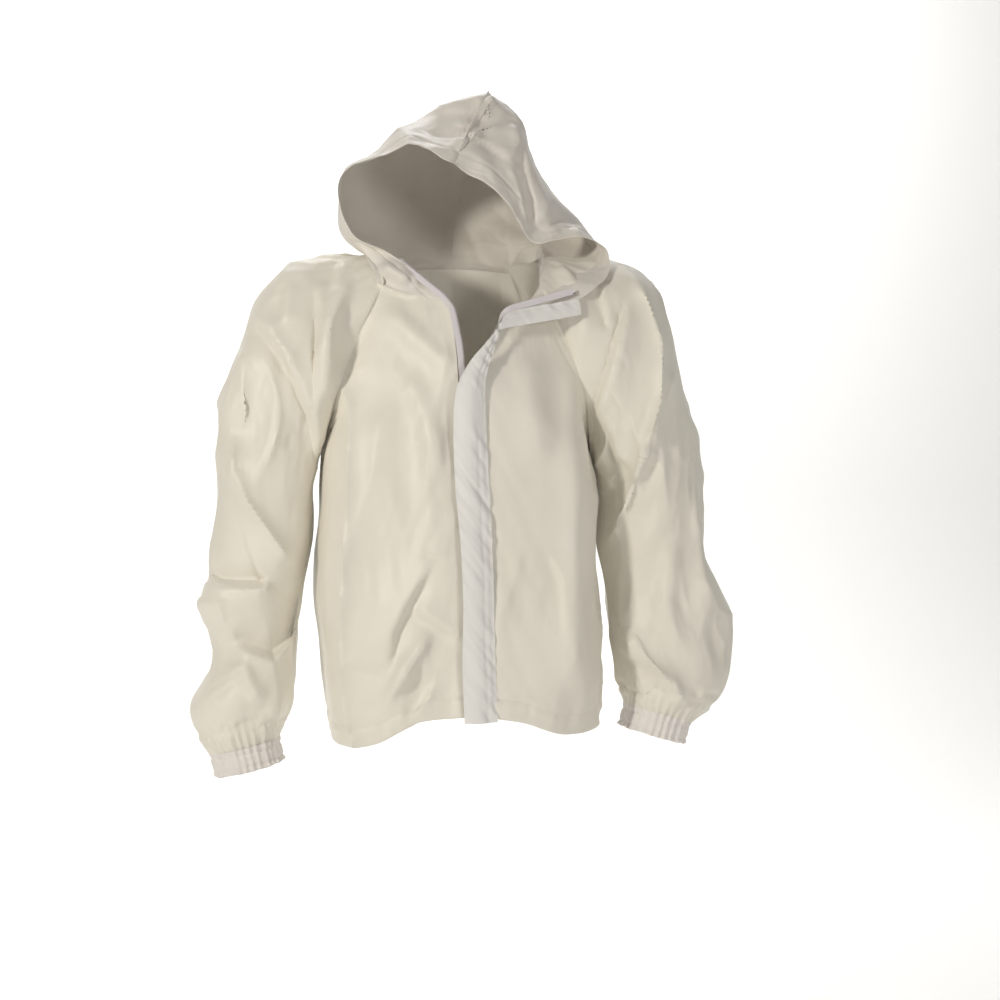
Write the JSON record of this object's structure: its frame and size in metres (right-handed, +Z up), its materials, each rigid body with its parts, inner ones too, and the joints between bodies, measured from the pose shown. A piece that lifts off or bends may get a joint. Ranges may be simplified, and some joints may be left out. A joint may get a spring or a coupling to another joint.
{
  "type": "beekeeping jacket",
  "caption": "Hooded white work jacket with raglan sleeves, elastic cuffs and a full-length front zip under a storm flap, worn open at the throat.",
  "frame": {"origin": "centre of the wearer's neck at the level of the side of the neckline, where the jacket hangs on the wearer", "axes": "+Z up along the wearer's neck, +X to the wearer's left, the wearer faces -Y"},
  "size_m": [0.7814, 0.3145, 0.9846],
  "materials": {
    "shell_cloth": "smooth tightly woven white synthetic cloth with a soft sheen",
    "elastic": "white braided elastic",
    "zip_tape": "cool white woven tape",
    "zip_coil": "white moulded coil",
    "white_metal": "white enamelled die casting",
    "stop_metal": "dull grey stamped metal"
  },
  "bodies": {
    "jacket_body": {"right_front_panel": "shell_cloth", "left_front_panel": "shell_cloth", "back_panel": "shell_cloth", "right_upper_sleeve": "shell_cloth", "left_upper_sleeve": "shell_cloth", "storm_flap_top": "shell_cloth", "zip_tape_right": "zip_tape", "zip_tape_left": "zip_tape", "zip_coil_right": "zip_coil", "zip_coil_left": "zip_coil", "zip_retainer_box": "white_metal", "zip_insertion_pin": "white_metal", "zip_top_stop_right": "stop_metal", "zip_top_stop_left": "stop_metal"},
    "hood": {"hood_right_panel": "shell_cloth", "hood_left_panel": "shell_cloth"},
    "flap": {"storm_flap": "shell_cloth"},
    "slider": {"zip_slider": "white_metal"},
    "pull": {"zip_pull": "white_metal"},
    "right_forearm": {"right_lower_sleeve": "shell_cloth", "right_cuff": "shell_cloth", "right_cuff_elastic": "elastic"},
    "left_forearm": {"left_lower_sleeve": "shell_cloth", "left_cuff": "shell_cloth", "left_cuff_elastic": "elastic"}
  },
  "joints": [
    {"name": "hood_fold_back", "type": "hinge", "parent": "jacket_body", "child": "hood", "pos_m": [0, 0.12, 0.02], "axis": [-1, 0, 0], "range_deg": [0, 80]},
    {"name": "storm_flap_open", "type": "hinge", "parent": "jacket_body", "child": "flap", "pos_m": [0.023, -0.1608, -0.178], "axis": [-0.0311, 0.0111, 0.9995], "range_deg": [0, 150]},
    {"name": "zip_slide", "type": "slide", "parent": "jacket_body", "child": "slider", "axis": [0.0311, -0.0111, -0.9995], "range_m": [0, 0.425]},
    {"name": "pull_swing", "type": "hinge", "parent": "slider", "child": "pull", "pos_m": [0.00019, -0.1532, -0.184], "axis": [-1, 0, 0], "range_deg": [0, 18]},
    {"name": "right_elbow_bend", "type": "hinge", "parent": "jacket_body", "child": "right_forearm", "pos_m": [-0.286, -0.078, -0.448], "axis": [-1, 0, 0], "range_deg": [0, 50]},
    {"name": "left_elbow_bend", "type": "hinge", "parent": "jacket_body", "child": "left_forearm", "pos_m": [0.301, -0.082, -0.448], "axis": [-1, 0, 0], "range_deg": [0, 50]}
  ]
}
